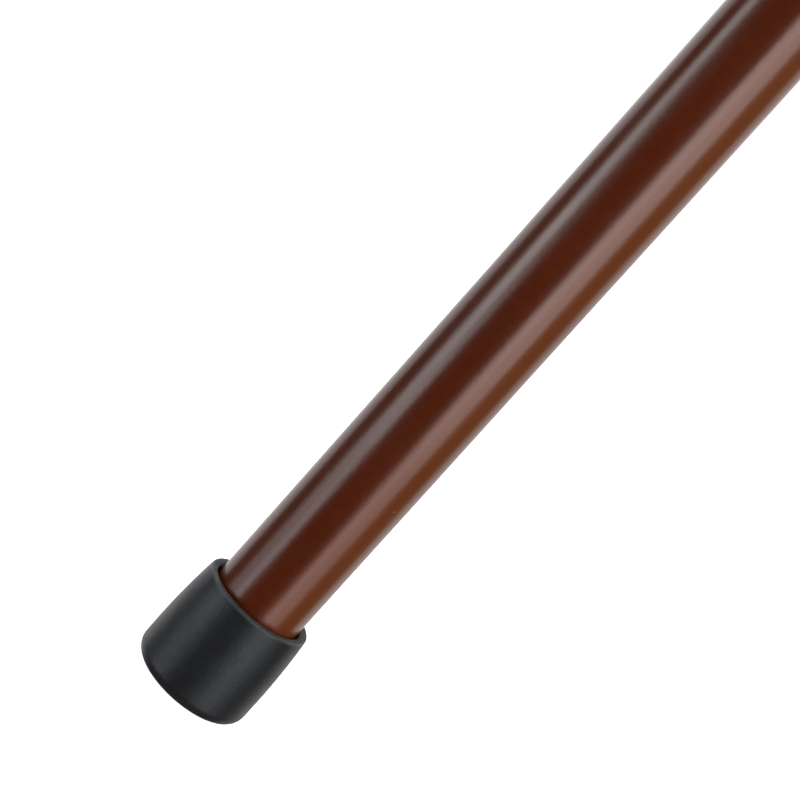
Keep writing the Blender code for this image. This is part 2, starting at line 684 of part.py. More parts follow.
def carrier(name, location, parent, children):
    """An empty on a joint's axis, with the pieces that move on that joint as its children."""
    empty = bpy.data.objects.new(name, None)
    PARTS.objects.link(empty)
    empty.location = location
    bpy.context.view_layer.update()
    if parent:
        empty.parent = parent
        empty.matrix_parent_inverse = parent.matrix_world.inverted()
        bpy.context.view_layer.update()
    for child in children:
        child.parent = empty
        child.matrix_parent_inverse = empty.matrix_world.inverted()
    return empty


GRIP_PIECES = ("grip_core", "grip_foam", "left_grip_saddle", "right_grip_saddle",
               "grip_bolt", "bolt_head_washer")
NUT_PIECES = ("nut_washer", "wing_nut")
LEG_PIECES = ("ferrule", "ferrule_washer", "leg_tube", "leg_plug", "button_spring",
              "snap_button")


def main():
    """Make every piece, keep the cut meshes, and hang the moving groups on their carriers."""
    make_leg()
    make_button()
    yoke_holes, grip_holes = cross_holes()
    make_centre_tube(yoke_holes)
    screw_holes = []
    for side, word in ((-1, "left"), (1, "right")):
        screw_holes += make_side_tube(side, word, yoke_holes + grip_holes)
    make_yokes(yoke_holes)
    make_grip()
    make_underarm_rest(screw_holes)

    bpy.context.view_layer.update()
    settled = {obj: settled_mesh(obj) for obj in PARTS.objects}
    for obj, mesh in settled.items():
        obj.modifiers.clear()
        obj.data = mesh

    apart = GRIP_PIECES + NUT_PIECES + LEG_PIECES
    frame_pieces = [obj for obj in settled if obj.name not in apart]
    frame = carrier("frame_slide", (0, 0, BUTTON_Z), None, frame_pieces)
    grip_pieces = [bpy.data.objects[name] for name in GRIP_PIECES]
    grip = carrier("grip_slide", (0, 0, GRIP_Z), frame, grip_pieces)
    nut_pieces = [bpy.data.objects[name] for name in NUT_PIECES]
    carrier("nut_slide", (BOW_OUT_X + BOW_R, 0, GRIP_Z), grip, nut_pieces)


main()
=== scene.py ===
import json
import math

import bmesh
import bpy
from mathutils import Matrix, Vector, noise


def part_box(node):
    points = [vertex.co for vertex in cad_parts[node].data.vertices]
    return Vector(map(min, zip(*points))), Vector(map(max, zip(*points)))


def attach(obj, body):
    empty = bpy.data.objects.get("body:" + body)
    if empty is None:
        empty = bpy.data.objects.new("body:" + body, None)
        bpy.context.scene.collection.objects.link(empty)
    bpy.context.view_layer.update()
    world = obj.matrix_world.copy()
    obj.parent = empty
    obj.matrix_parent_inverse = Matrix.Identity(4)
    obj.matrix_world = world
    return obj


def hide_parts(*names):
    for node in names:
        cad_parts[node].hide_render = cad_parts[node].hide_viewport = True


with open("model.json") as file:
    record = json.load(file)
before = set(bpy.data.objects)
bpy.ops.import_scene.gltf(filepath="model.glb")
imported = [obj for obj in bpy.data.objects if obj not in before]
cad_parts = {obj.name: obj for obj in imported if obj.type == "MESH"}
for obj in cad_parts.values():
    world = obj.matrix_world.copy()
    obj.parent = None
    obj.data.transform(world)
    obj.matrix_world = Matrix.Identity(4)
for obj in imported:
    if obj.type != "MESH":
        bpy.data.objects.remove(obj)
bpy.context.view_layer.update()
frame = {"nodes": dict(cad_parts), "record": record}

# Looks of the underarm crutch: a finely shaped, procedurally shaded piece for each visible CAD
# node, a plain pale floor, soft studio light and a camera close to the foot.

MM = 0.001
TAU = 2 * math.pi
WELD = 0.01 * MM
SHARP = math.radians(38)
HOLE_PITCH = 25.4 * MM
HOLE_STEPS = (-3, -2, -1, 0, 1, 2, 3)

# Sizes that the CAD boxes don't give, the same as in the CAD
LEG_WALL = 1.4 * MM
CENTRE_WALL = 1.3 * MM
BOW_R = 9.5 * MM
BOW_WALL = 1.2 * MM
BOW_CLEAR_R = 9.62 * MM
BEND_START = 658.0 * MM
BEND_R = 80.0 * MM
BEND_ANGLE = math.radians(30)
BUTTON_HOLE_R = 4.0 * MM
BOLT_R = 3.0 * MM
BOLT_HOLE_R = 3.25 * MM
NUT_BORE_R = 3.05 * MM
THREAD_PITCH = 1.0 * MM
THREAD_DEPTH = 0.45 * MM
SCREW_HOLE_R = 2.2 * MM
SOCKET_R = 12.6 * MM
SOCKET_CEILING = 1198.3 * MM
CUSHION_CENTRE_Z = 1646.0 * MM
CUSHION_ARC_R = 420.0 * MM
CUSHION_THICKNESS = 36.0 * MM
BAR_MID_R = 439.0 * MM

scene = bpy.context.scene
LOOKS = bpy.data.collections.new("looks")
TOOLS = bpy.data.collections.new("tools")
scene.collection.children.link(LOOKS)
scene.collection.children.link(TOOLS)
TOOLS.hide_render = True


# ---------------------------------------------------------------- materials

class Nodes:
    """Small helper for building a node material around one Principled BSDF."""

    def __init__(self, name):
        self.material = bpy.data.materials.new(name)
        self.material.use_nodes = True
        self.tree = self.material.node_tree
        self.shader = self.tree.nodes["Principled BSDF"]
        coords = self.tree.nodes.new("ShaderNodeTexCoord")
        self.place = coords.outputs["Object"]

    def link(self, output, socket):
        self.tree.links.new(output, socket)

    def stretched(self, scale):
        """Object coordinates scaled unevenly, for streaks."""
        mapping = self.tree.nodes.new("ShaderNodeMapping")
        mapping.inputs["Scale"].default_value = scale
        self.link(self.place, mapping.inputs["Vector"])
        return mapping.outputs["Vector"]

    def noise(self, scale, detail=3.0, rough=0.55, vector=None):
        node = self.tree.nodes.new("ShaderNodeTexNoise")
        node.inputs["Scale"].default_value = scale
        node.inputs["Detail"].default_value = detail
        node.inputs["Roughness"].default_value = rough
        self.link(vector or self.place, node.inputs["Vector"])
        return node.outputs["Fac"]

    def cells(self, scale, feature="F1", output="Distance", vector=None):
        node = self.tree.nodes.new("ShaderNodeTexVoronoi")
        node.feature = feature
        node.inputs["Scale"].default_value = scale
        self.link(vector or self.place, node.inputs["Vector"])
        return node.outputs[output]

    def ramp(self, value, low, high, to_low=0.0, to_high=1.0):
        """Map a value's range linearly to another, clamped."""
        node = self.tree.nodes.new("ShaderNodeMapRange")
        node.inputs["From Min"].default_value = low
        node.inputs["From Max"].default_value = high
        node.inputs["To Min"].default_value = to_low
        node.inputs["To Max"].default_value = to_high
        self.link(value, node.inputs["Value"])
        return node.outputs["Result"]

    def math(self, operation, first, second=None, value=None):
        node = self.tree.nodes.new("ShaderNodeMath")
        node.operation = operation
        self.link(first, node.inputs[0])
        if second is not None:
            self.link(second, node.inputs[1])
        elif value is not None:
            node.inputs[1].default_value = value
        return node.outputs[0]

    def mix(self, factor, first, second):
        """Blend two colours, each a tuple or a socket."""
        node = self.tree.nodes.new("ShaderNodeMix")
        node.data_type = "RGBA"
        self.link(factor, node.inputs["Factor"])
        for socket, colour in ((node.inputs[6], first), (node.inputs[7], second)):
            if isinstance(colour, tuple):
                socket.default_value = (*colour, 1.0)
            else:
                self.link(colour, socket)
        return node.outputs[2]

    def height(self):
        """Object Z in metres."""
        node = self.tree.nodes.new("ShaderNodeSeparateXYZ")
        self.link(self.place, node.inputs[0])
        return node.outputs["Z"]

    def facing(self, azimuth):
        """Cosine of the angle between the surface and an azimuth from -Y, positive to +X."""
        coords = self.tree.nodes.new("ShaderNodeTexCoord")
        node = self.tree.nodes.new("ShaderNodeVectorMath")
        node.operation = "DOT_PRODUCT"
        self.link(coords.outputs["Normal"], node.inputs[0])
        angle = math.radians(azimuth)
        node.inputs[1].default_value = (math.sin(angle), -math.cos(angle), 0.0)
        return node.outputs["Value"]

    def bump(self, height, strength, distance=0.001, normal=None):
        node = self.tree.nodes.new("ShaderNodeBump")
        node.inputs["Strength"].default_value = strength
        node.inputs["Distance"].default_value = distance
        self.link(height, node.inputs["Height"])
        if normal is not None:
            self.link(normal, node.inputs["Normal"])
        return node.outputs["Normal"]

    def finish(self, color=None, roughness=None, normal=None, **constants):
        for output, socket in ((color, "Base Color"), (roughness, "Roughness"), (normal, "Normal")):
            if output is not None:
                self.link(output, self.shader.inputs[socket])
        for socket, value in constants.items():
            self.shader.inputs[socket.replace("_", " ")].default_value = value
        return self.material


def lacquer_material():
    """Satin brown lacquer, with the tube's +X front side painted lighter and more amber as a painted
    lit side.
    """
    n = Nodes("brown_lacquer")
    tone = n.ramp(n.noise(14.0, 2.0), 0.3, 0.7)
    deep = n.mix(tone, (0.065, 0.0096, 0.0015), (0.075, 0.0117, 0.0020))
    # Painted lit side: the +X side, where the warm side light falls, is painted lighter and more
    # amber, most amber where it faces that light; noise wobbles its edge.
    drift = n.ramp(n.noise(22.0, 2.0), 0.3, 0.7, -0.05, 0.05)
    far = n.math("ADD", n.facing(62.0), drift)
    light = n.mix(n.ramp(far, 0.80, 0.97), (0.130, 0.0240, 0.0040), (0.119, 0.0310, 0.0070))
    color = n.mix(n.ramp(n.facing(61.0), 0.62, 0.76), deep, light)
    mottle = n.ramp(n.noise(420.0, 4.0, 0.6), 0.35, 0.75)
    color = n.mix(n.math("MULTIPLY", mottle, value=0.12), color, (0.125, 0.034, 0.0085))
    speck = n.math("LESS_THAN", n.cells(210.0), value=0.032)
    chosen = n.math("GREATER_THAN", n.noise(95.0, 0.0), value=0.61)
    dust = n.math("MULTIPLY", speck, chosen)
    color = n.mix(n.math("MULTIPLY", dust, value=0.75), color, (0.42, 0.36, 0.30))
    streaks = n.noise(60.0, 1.0, 0.5, n.stretched((6.0, 6.0, 0.8)))
    rough = n.ramp(streaks, 0.25, 0.75, 0.235, 0.280)
    peel = n.bump(n.noise(900.0, 2.0, 0.5), 0.045, 0.0004)
    return n.finish(color, rough, peel, Specular_IOR_Level=0.5)


def rubber_material():
    """Matt moulded rubber: fine grain, a little bloom, paler along the top rim, and a scuffed foot.
    """
    n = Nodes("ferrule_rubber_black")
    colour = (0.0072, 0.0073, 0.0079)
    bloom = n.ramp(n.noise(60.0, 4.0, 0.6), 0.35, 0.75)
    color = n.mix(n.math("MULTIPLY", bloom, value=0.55), colour, tuple(c * 1.5 for c in colour))
    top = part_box("ferrule")[1].z
    height = n.height()
    patchy = n.ramp(n.noise(380.0, 3.0, 0.6), 0.35, 0.65, 0.45, 1.0)
    # Paler grey in patches along the top rim, and on the scuffed foot.
    rim = n.math("MULTIPLY", n.ramp(height, top - 0.7 * MM, top), patchy)
    foot = n.math("MULTIPLY", n.ramp(height, 0.0024, 0.0, 0.0, 0.6), patchy)
    worn = n.math("MAXIMUM", rim, foot)
    color = n.mix(worn, color, (0.068, 0.070, 0.072))
    speck = n.math("LESS_THAN", n.cells(420.0), value=0.05)
    chosen = n.math("GREATER_THAN", n.noise(150.0, 0.0), value=0.62)
    color = n.mix(n.math("MULTIPLY", n.math("MULTIPLY", speck, chosen), value=0.5),
                  color, (0.16, 0.16, 0.16))
    rough = n.ramp(n.noise(220.0, 3.0), 0.3, 0.7, 0.40, 0.48)
    coarse = n.bump(n.noise(525.0, 3.0, 0.6), 0.10, 0.0005)
    fine = n.bump(n.noise(1500.0, 4.0, 0.65), 0.16, 0.0003, coarse)
    return n.finish(color, rough, fine, Specular_IOR_Level=0.36,
                    Specular_Tint=(0.84, 0.92, 1.0, 1.0))


def plastic_material():
    """Moulded black plastic with a fine spark-eroded texture."""
    n = Nodes("moulded_plastic")
    tone = n.ramp(n.noise(90.0, 3.0), 0.3, 0.7)
    color = n.mix(tone, (0.016, 0.016, 0.017), (0.026, 0.026, 0.0275))
    rough = n.ramp(n.noise(300.0, 2.0), 0.3, 0.7, 0.36, 0.46)
    texture = n.bump(n.cells(1300.0, "SMOOTH_F1"), 0.14, 0.0003)
    return n.finish(color, rough, texture)


def foam_material(name, colour, cell_scale, depth):
    """Closed-cell foam: small cells, some open at the skin, their pits painted darker as painted
    shade.
    """
    n = Nodes(name)
    tone = n.ramp(n.noise(45.0, 4.0), 0.3, 0.75)
    base = n.mix(tone, colour, tuple(c * 1.7 for c in colour))
    cells = n.cells(cell_scale, "SMOOTH_F1")
    pits = n.ramp(cells, 0.05, 0.55)
    # Painted shade: the colour darkens towards each cell's centre, in the pits.
    color = n.mix(n.ramp(cells, 0.0, 0.32, 0.6, 0.0), base, tuple(c * 0.35 for c in colour))
    rough = n.ramp(n.noise(200.0, 2.0), 0.3, 0.7, 0.78, 0.92)
    skin = n.bump(pits, 0.35, depth)
    fine = n.bump(n.noise(cell_scale * 2.3, 3.0, 0.7), 0.18, depth, skin)
    return n.finish(color, rough, fine)


def metal_material(name, colour, streak_axis, rough=0.26):
    """Plated or bare metal with fine tool marks that run round the streak axis."""
    n = Nodes(name)
    scale = [900.0, 900.0, 900.0]
    for index in range(3):
        if index != streak_axis:
            scale[index] = 45.0
    marks = n.noise(1.0, 4.0, 0.65, n.stretched(tuple(scale)))
    blotch = n.ramp(n.noise(160.0, 3.0), 0.35, 0.75)
    color = n.mix(blotch, colour, tuple(c * 0.86 for c in colour))
    roughness = n.ramp(marks, 0.3, 0.7, rough - 0.06, rough + 0.08)
    return n.finish(color, roughness, n.bump(marks, 0.05, 0.0002), Metallic=1.0)


LACQUER = lacquer_material()
RUBBER = rubber_material()
PLASTIC = plastic_material()
GRIP_FOAM = foam_material("grip_foam_black", (0.016, 0.016, 0.017), 900.0, 0.0006)
CUSHION_SKIN = foam_material("cushion_foam_black", (0.019, 0.019, 0.020), 620.0, 0.0008)
STEEL_X = metal_material("zinc_plate_x", (0.62, 0.63, 0.64), 0)
STEEL_Y = metal_material("zinc_plate_y", (0.62, 0.63, 0.64), 1)
STEEL_Z = metal_material("zinc_plate_z", (0.62, 0.63, 0.64), 2)
SPRING = metal_material("spring_strip", (0.40, 0.41, 0.43), 0, 0.30)
BARE_CUT = metal_material("bare_drilled_metal", (0.72, 0.72, 0.73), 2, 0.34)


# ---------------------------------------------------------------- mesh tools

def spaced(start, end, count):
    return [start + (end - start) * i / (count - 1) for i in range(count)]


def arc(centre, radius, start, end, count):
    return [
        (centre[0] + radius * math.cos(a), centre[1] + radius * math.sin(a))
        for a in spaced(start, end, count)
    ]


def filleted(points, radii, closed=False, steps=5):
    """Round the corners of a polyline, each by its own radius, 0 for a corner that stays."""
    result = []
    count = len(points)
    for i, (point, radius) in enumerate(zip(points, radii)):
        here = Vector(point)
        if radius <= 0 or (not closed and i in (0, count - 1)):
            result.append(tuple(here))
            continue
        before = (Vector(points[i - 1]) - here)
        after = (Vector(points[(i + 1) % count]) - here)
        turn = before.angle(after)
        reach = min(radius / math.tan(turn / 2), before.length * 0.49, after.length * 0.49)
        bisector = (before.normalized() + after.normalized()).normalized()
        true_radius = reach * math.tan(turn / 2)
        centre = here + bisector * (true_radius / math.sin(turn / 2))
        start = here + before.normalized() * reach - centre
        end = here + after.normalized() * reach - centre
        sweep = start.angle_signed(end)
        for k in range(steps + 1):
            result.append(tuple(centre + Matrix.Rotation(-sweep * k / steps, 2) @ start))
    return result


def grid_mesh(name, rings, close_ends=True, close_rings=False):
    """Skin a list of equal rings of points; ends are capped or the last ring joins the first."""
    bm = bmesh.new()
    loops = [[bm.verts.new(p) for p in ring] for ring in rings]
    count = len(loops[0])
    pairs = list(zip(loops, loops[1:]))
    if close_rings:
        pairs.append((loops[-1], loops[0]))
    for lower, upper in pairs:
        for i in range(count):
            j = (i + 1) % count
            bm.faces.new((lower[i], lower[j], upper[j], upper[i]))
    if close_ends and not close_rings:
        bm.faces.new(list(reversed(loops[0])))
        bm.faces.new(loops[-1])
    bmesh.ops.remove_doubles(bm, verts=bm.verts, dist=WELD * 0.2)
    bmesh.ops.dissolve_degenerate(bm, edges=bm.edges, dist=WELD * 0.1)
    bmesh.ops.recalc_face_normals(bm, faces=bm.faces)
    mesh = bpy.data.meshes.new(name)
    bm.to_mesh(mesh)
    bm.free()
    return mesh


AXES = {
    "z": Matrix.Identity(3),
    "x": Matrix(((0, 0, 1), (0, 1, 0), (-1, 0, 0))),
    "-x": Matrix(((0, 0, -1), (0, 1, 0), (1, 0, 0))),
    "-y": Matrix(((1, 0, 0), (0, 0, -1), (0, 1, 0))),
}


def lathe_mesh(name, profile, axis="z", centre=(0, 0, 0), closed=False, steps=96, shape=None):
    """Turn (radius, height) points about an axis; shape(radius, height, angle) may carve it."""
    turn = AXES[axis]
    place = Vector(centre)
    rings = []
    for r, h in profile:
        ring = []
        for k in range(steps):
            a = TAU * k / steps
            rr = shape(r, h, a) if shape else r
            ring.append(place + turn @ Vector((rr * math.cos(a), rr * math.sin(a), h)))
        rings.append(ring)
    return grid_mesh(name, rings, close_ends=not closed, close_rings=closed)


def show(name, mesh, finish, smooth=True):
    """Put a mesh in the scene with its material, shaded smooth up to sharp edges."""
    obj = bpy.data.objects.new(name, mesh)
    LOOKS.objects.link(obj)
    mesh.materials.clear()
    mesh.materials.append(finish)
    if smooth:
        mesh.shade_smooth()
        mesh.set_sharp_from_angle(angle=SHARP)
    return obj


def lathe(name, profile, finish, **how):
    return show(name, lathe_mesh(name, profile, **how), finish)


def tool(name, mesh, finish=None):
    """A hidden helper for a Boolean; its material marks the faces that it cuts."""
    obj = bpy.data.objects.new(name, mesh)
    if finish:
        mesh.materials.append(finish)
    TOOLS.objects.link(obj)
    obj.hide_render = True
    return obj


def rod_tool(name, radius, half, axis, centre, finish=None, steps=48):
    profile = [(0.0, -half), (radius, -half), (radius, half), (0.0, half)]
    return tool(name, lathe_mesh(name, profile, axis, centre, steps=steps), finish)


def baked(obj):
    """Apply an object's modifiers to its mesh."""
    bpy.context.view_layer.update()
    graph = bpy.context.evaluated_depsgraph_get()
    mesh = bpy.data.meshes.new_from_object(obj.evaluated_get(graph))
    obj.modifiers.clear()
    obj.data = mesh
    return obj


def cut(obj, tools, operation="DIFFERENCE", bevel=0.0):
    """Boolean the tools into the object, then shade it again."""
    for cutter in tools:
        modifier = obj.modifiers.new("cut", "BOOLEAN")
        modifier.operation = operation
        modifier.solver = "EXACT"
        modifier.material_mode = "TRANSFER"
        modifier.object = cutter
    baked(obj)
    if bevel:
        rim = obj.modifiers.new("rim", "BEVEL")
        rim.width = bevel
        rim.segments = 2
        rim.limit_method = "ANGLE"
        rim.angle_limit = SHARP
        baked(obj)
    for polygon in obj.data.polygons:
        polygon.use_smooth = True
    obj.data.set_sharp_from_angle(angle=SHARP)
    for cutter in tools:
        bpy.data.objects.remove(cutter)
    return obj


def outline_mesh(name, outline, half_depth, rounding, turn=None, centre=(0, 0, 0), steps=4):
    """Extrude a closed outline both ways along Z with rounded rims, as a welded mesh."""
    curve = bpy.data.curves.new(name, "CURVE")
    curve.dimensions = "2D"
    curve.fill_mode = "BOTH"
    curve.extrude = half_depth - rounding
    curve.bevel_depth = rounding
    curve.bevel_resolution = steps
    curve.offset = -rounding
    spline = curve.splines.new("POLY")
    spline.points.add(len(outline) - 1)
    for point, (x, y) in zip(spline.points, outline):
        point.co = (x, y, 0.0, 1.0)
    spline.use_cyclic_u = True
    obj = bpy.data.objects.new(name, curve)
    TOOLS.objects.link(obj)
    bpy.context.view_layer.update()
    graph = bpy.context.evaluated_depsgraph_get()
    mesh = bpy.data.meshes.new_from_object(obj.evaluated_get(graph))
    bpy.data.objects.remove(obj)
    bm = bmesh.new()
    bm.from_mesh(mesh)
    bmesh.ops.remove_doubles(bm, verts=bm.verts, dist=WELD)
    bmesh.ops.recalc_face_normals(bm, faces=bm.faces)
    if turn is not None:
        bmesh.ops.transform(bm, matrix=turn.to_4x4(), verts=bm.verts)
    bmesh.ops.translate(bm, verts=bm.verts, vec=centre)
    bm.to_mesh(mesh)
    bm.free()
    return mesh


def joined(name, objects):
    """Join several objects into one piece."""
    bm = bmesh.new()
    materials = []
    for obj in objects:
        start = len(bm.faces)
        bm.from_mesh(obj.data)
        bm.faces.ensure_lookup_table()
        for face in bm.faces[start:]:
            material = obj.data.materials[face.material_index]
            if material not in materials:
                materials.append(material)
            face.material_index = materials.index(material)
    mesh = bpy.data.meshes.new(name)
    bm.to_mesh(mesh)
    bm.free()
    for obj in objects:
        bpy.data.objects.remove(obj)
    piece = bpy.data.objects.new(name, mesh)
    LOOKS.objects.link(piece)
    for material in materials:
        mesh.materials.append(material)
    mesh.set_sharp_from_angle(angle=SHARP)
    return piece


def stands_for(piece, *nodes):
    """The piece rides with its CAD nodes' body and hides them."""
    body = next(b for b, members in BODIES.items() if nodes[0] in members)
    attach(piece, body)
    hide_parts(*nodes)
    return piece


BODIES = frame["record"]["behaviour"]["bodies"]


def middle(node):
    low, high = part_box(node)
    return (low + high) / 2


def half_size(node):
    low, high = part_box(node)
    return (high - low) / 2


# ---------------------------------------------------------------- foot and leg

def make_ferrule():
    """Rubber ferrule: flat worn mouth ring, swelling side, rounded corner, ringed tread."""
    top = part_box("ferrule")[1].z
    max_r = half_size("ferrule").x
    rim_r = max_r - 1.0 * MM
    belly = 8.0 * MM
    corner_r = 3.4 * MM
    mouth_r = half_size("leg_tube").x + 0.35 * MM
    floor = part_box("ferrule_washer")[0].z - 0.3 * MM
    mouth = filleted(
        [(mouth_r, top - 6 * MM), (mouth_r, top - 0.75 * MM), (mouth_r + 0.5 * MM, top),
         (rim_r, top), (rim_r + 0.1 * MM, top - 3 * MM)],
        [0, 0.2 * MM, 0.15 * MM, 0.35 * MM, 0], steps=4)
    profile = [(0.0, floor), (mouth_r, floor)] + mouth[:-1]
    for z in spaced(top - 0.7 * MM, belly, 18):
        share = (z - belly) / (top - belly)
        profile.append((max_r - (max_r - rim_r) * share**2, z))
    profile += [(max_r, z) for z in spaced(belly - 0.4 * MM, corner_r + 0.4 * MM, 4)]
    profile += arc((max_r - corner_r, corner_r), corner_r, 0.0, -math.pi / 2, 14)
    for inner, outer in ((8.0, 9.2), (5.2, 6.4), (2.4, 3.4)):
        groove = [(outer, 0.0), (outer - 0.15, 1.1), (inner + 0.15, 1.1), (inner, 0.0)]
        profile += [(r * MM, z * MM) for r, z in groove]
    profile.append((0.0, 0.0))
    stands_for(lathe("ferrule_look", profile, RUBBER, steps=160), "ferrule")


def ring_profile(inner, outer, bottom, top, rounding, rows=1):
    """Section of a tube with softened ends, with extra rows along its length."""
    corners = [(inner, top), (outer, top), (outer, bottom), (inner, bottom)]
    rounded = filleted(corners, [rounding] * 4, closed=True, steps=3)
    if rows == 1:
        return rounded
    half = len(rounded) // 2
    outer_rows = [(outer, z) for z in spaced(top - 2 * rounding, bottom + 2 * rounding, rows)]
    inner_rows = [(inner, z) for z in spaced(bottom + 2 * rounding, top - 2 * rounding, rows)]
    return rounded[:half] + outer_rows + rounded[half:] + inner_rows


def make_leg():
    """Leg tube with the hole for its snap button."""
    low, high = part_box("leg_tube")
    radius = half_size("leg_tube").x
    tube = lathe("leg_tube_look",
                 ring_profile(radius - LEG_WALL, radius, low.z, high.z, 0.25 * MM, 40),
                 LACQUER, closed=True, steps=128)
    button = middle("snap_button")
    hole = rod_tool("leg_hole", BUTTON_HOLE_R, radius, "-y", (0, -radius, button.z), BARE_CUT)
    cut(tube, [hole])
    stands_for(tube, "leg_tube")


def make_button():
    """Domed snap button with the flange that keeps it in the leg."""
    low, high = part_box("snap_button")
    axis_z = middle("snap_button").z
    tip = -low.y
    stem = 3.7 * MM
    flange_top = 8.0 * MM
    flange = -high.y
    dome = filleted([(0.0, tip), (stem * 0.55, tip), (stem, tip - 1.9 * MM), (stem, flange_top)],
                    [0, 2.0 * MM, 0.9 * MM, 0], steps=7)
    profile = dome + [(4.9 * MM, flange_top), (4.9 * MM, flange), (0.0, flange)]
    piece = lathe("snap_button_look", profile, STEEL_Y, axis="-y", centre=(0, 0, axis_z), steps=64)
    stands_for(piece, "snap_button")


# ---------------------------------------------------------------- frame tubes

def make_centre_tube():
    """Centre tube with its row of height holes and the yoke bolts' holes."""
    low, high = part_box("centre_tube")
    radius = half_size("centre_tube").x
    tube = lathe("centre_tube_look",
                 ring_profile(radius - CENTRE_WALL, radius, low.z, high.z, 0.3 * MM, 36),
                 LACQUER, closed=True, steps=128)
    button_z = middle("snap_button").z
    holes = [
        rod_tool("height_hole", BUTTON_HOLE_R, radius * 0.6, "-y",
                 (0, -radius, button_z + step * HOLE_PITCH), BARE_CUT)
        for step in HOLE_STEPS
    ]
    holes += [
        rod_tool("yoke_hole", BOLT_HOLE_R, 2 * radius, "x", (0, 0, middle(node).z), BARE_CUT)
        for node in ("lower_yoke", "upper_yoke")
    ]
    stands_for(cut(tube, holes), "centre_tube")


def fluted(inner_z, outer_z, count, depth):
    """Shape function: shallow flutes round a lathed piece between two heights."""
    def shape(r, h, a):
        if not inner_z < h < outer_z:
            return r
        fade = min(1.0, (h - inner_z) / MM, (outer_z - h) / MM)
        return r - depth * fade * max(0.0, math.cos(count * a)) ** 2
    return shape


def make_collar():
    """Collar on the centre tube's mouth, with shallow finger flutes."""
    low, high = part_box("tube_collar")
    outer = half_size("tube_collar").x
    tube_r = half_size("centre_tube").x
    tube_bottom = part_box("centre_tube")[0].z
    corners = [
        (tube_r + 0.15 * MM, high.z), (outer - 0.2 * MM, high.z), (outer, low.z + 6 * MM),
        (outer - 2.6 * MM, low.z), (tube_r - 1.25 * MM, low.z),
        (tube_r - 1.25 * MM, tube_bottom - 0.2 * MM), (tube_r + 0.15 * MM, tube_bottom - 0.2 * MM)]
    radii = [0.3 * MM, 1.0 * MM, 2.5 * MM, 0.8 * MM, 0.4 * MM, 0, 0]
    rounded = filleted(corners, radii, closed=True, steps=6)
    # the long outer side starts after the last rounded point that is highest on that side
    turn = max(range(len(rounded)),
               key=lambda i: rounded[i][1] if rounded[i][0] > outer - 0.3 * MM else -1)
    rows = [(outer - 0.1 * MM, z) for z in spaced(high.z - 2.0 * MM, low.z + 8.6 * MM, 40)]
    profile = rounded[:turn + 1] + rows + rounded[turn + 1:]
    shape = fluted(low.z + 9 * MM, high.z - 5 * MM, 20, 0.7 * MM)
    piece = lathe("tube_collar_look", profile, PLASTIC, closed=True, steps=240,
                  shape=lambda r, h, a: shape(r, h, a) if r > outer - 0.3 * MM else r)
    stands_for(piece, "tube_collar")


def make_centre_cap():
    """Domed cap on the centre tube."""
    low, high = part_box("centre_tube_cap")
    radius = half_size("centre_tube").x
    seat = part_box("centre_tube")[1].z
    profile = filleted(
        [(0.0, high.z), (radius * 0.7, high.z - 0.3 * MM), (radius, seat + 1.6 * MM),
         (radius, seat + 0.15 * MM), (radius - 1.5 * MM, seat + 0.15 * MM),
         (radius - 1.6 * MM, low.z), (0.0, low.z)],
        [0, 4 * MM, 1.6 * MM, 0.3 * MM, 0, 0.5 * MM, 0], steps=8)
    stands_for(lathe("centre_tube_cap_look", profile, PLASTIC), "centre_tube_cap")


def bow_route(side):
    """Axis of a side tube as closely spaced points: straight, an S of two arcs, straight."""
    low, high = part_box("right_side_tube")
    in_x = middle("right_tube_plug").x
    out_x = high.x - BOW_R
    angle = BEND_ANGLE
    slant = (out_x - in_x - 2 * BEND_R * (1 - math.cos(angle))) / math.sin(angle)
    route = [(in_x, z) for z in spaced(low.z, BEND_START - 2 * MM, 24)]
    lower = arc((in_x + BEND_R, BEND_START), BEND_R, math.pi, math.pi - angle, 14)
    end_x, end_z = lower[-1]
    top_x = end_x + slant * math.sin(angle)
    top_z = end_z + slant * math.cos(angle)
    upper = arc((out_x - BEND_R, top_z + BEND_R * math.sin(angle)), BEND_R, -angle, 0.0, 14)
    middle_run = [
        (end_x + (top_x - end_x) * k / 6, end_z + (top_z - end_z) * k / 6) for k in range(1, 6)
    ]
    route += lower + middle_run + upper
    route += [(out_x, z) for z in spaced(upper[-1][1] + 2 * MM, high.z, 70)]
    return [Vector((side * x, 0.0, z)) for x, z in route]


def make_side_tube(side, word):
    """One bowed side tube, drilled for the grip bolt, the yoke bolts and the saddle screw."""
    node = f"{word}_side_tube"
    route = bow_route(side)
    radius = BOW_R
    across = Vector((0, 1, 0))
    frames = []
    for i, point in enumerate(route):
        along = (route[min(i + 1, len(route) - 1)] - route[max(i - 1, 0)]).normalized()
        frames.append((point, along.cross(across)))

    def ring_at(index, r):
        point, out = frames[index]
        return [
            point + out * (r * math.cos(TAU * k / 96)) + across * (r * math.sin(TAU * k / 96))
            for k in range(96)
        ]

    last = len(route) - 1
    soft = 0.3 * MM
    rings = [ring_at(0, radius - soft)] + [ring_at(i, radius) for i in range(last + 1)]
    rings += [ring_at(last, radius - soft)]
    rings += [ring_at(i, radius - BOW_WALL) for i in range(last, -1, -1)]
    tube = show(f"{node}_look", grid_mesh(node, rings, close_rings=True), LACQUER)
    grip_z = middle("grip_core").z
    cutters = [
        rod_tool("grip_hole", BOLT_HOLE_R, 2 * radius, "x",
                 (route[last].x, 0, grip_z + step * HOLE_PITCH), BARE_CUT)
        for step in HOLE_STEPS
    ]
    cutters += [
        rod_tool("yoke_hole", BOLT_HOLE_R, 2 * radius, "x", (route[0].x, 0, middle(yoke).z),
                 BARE_CUT)
        for yoke in ("lower_yoke", "upper_yoke")
    ]
    screw = middle(f"{word}_saddle_screw")
    cutters.append(rod_tool("screw_hole", SCREW_HOLE_R, 5 * MM, "-y", (screw.x, -radius, screw.z),
                            BARE_CUT))
    stands_for(cut(tube, cutters), node)


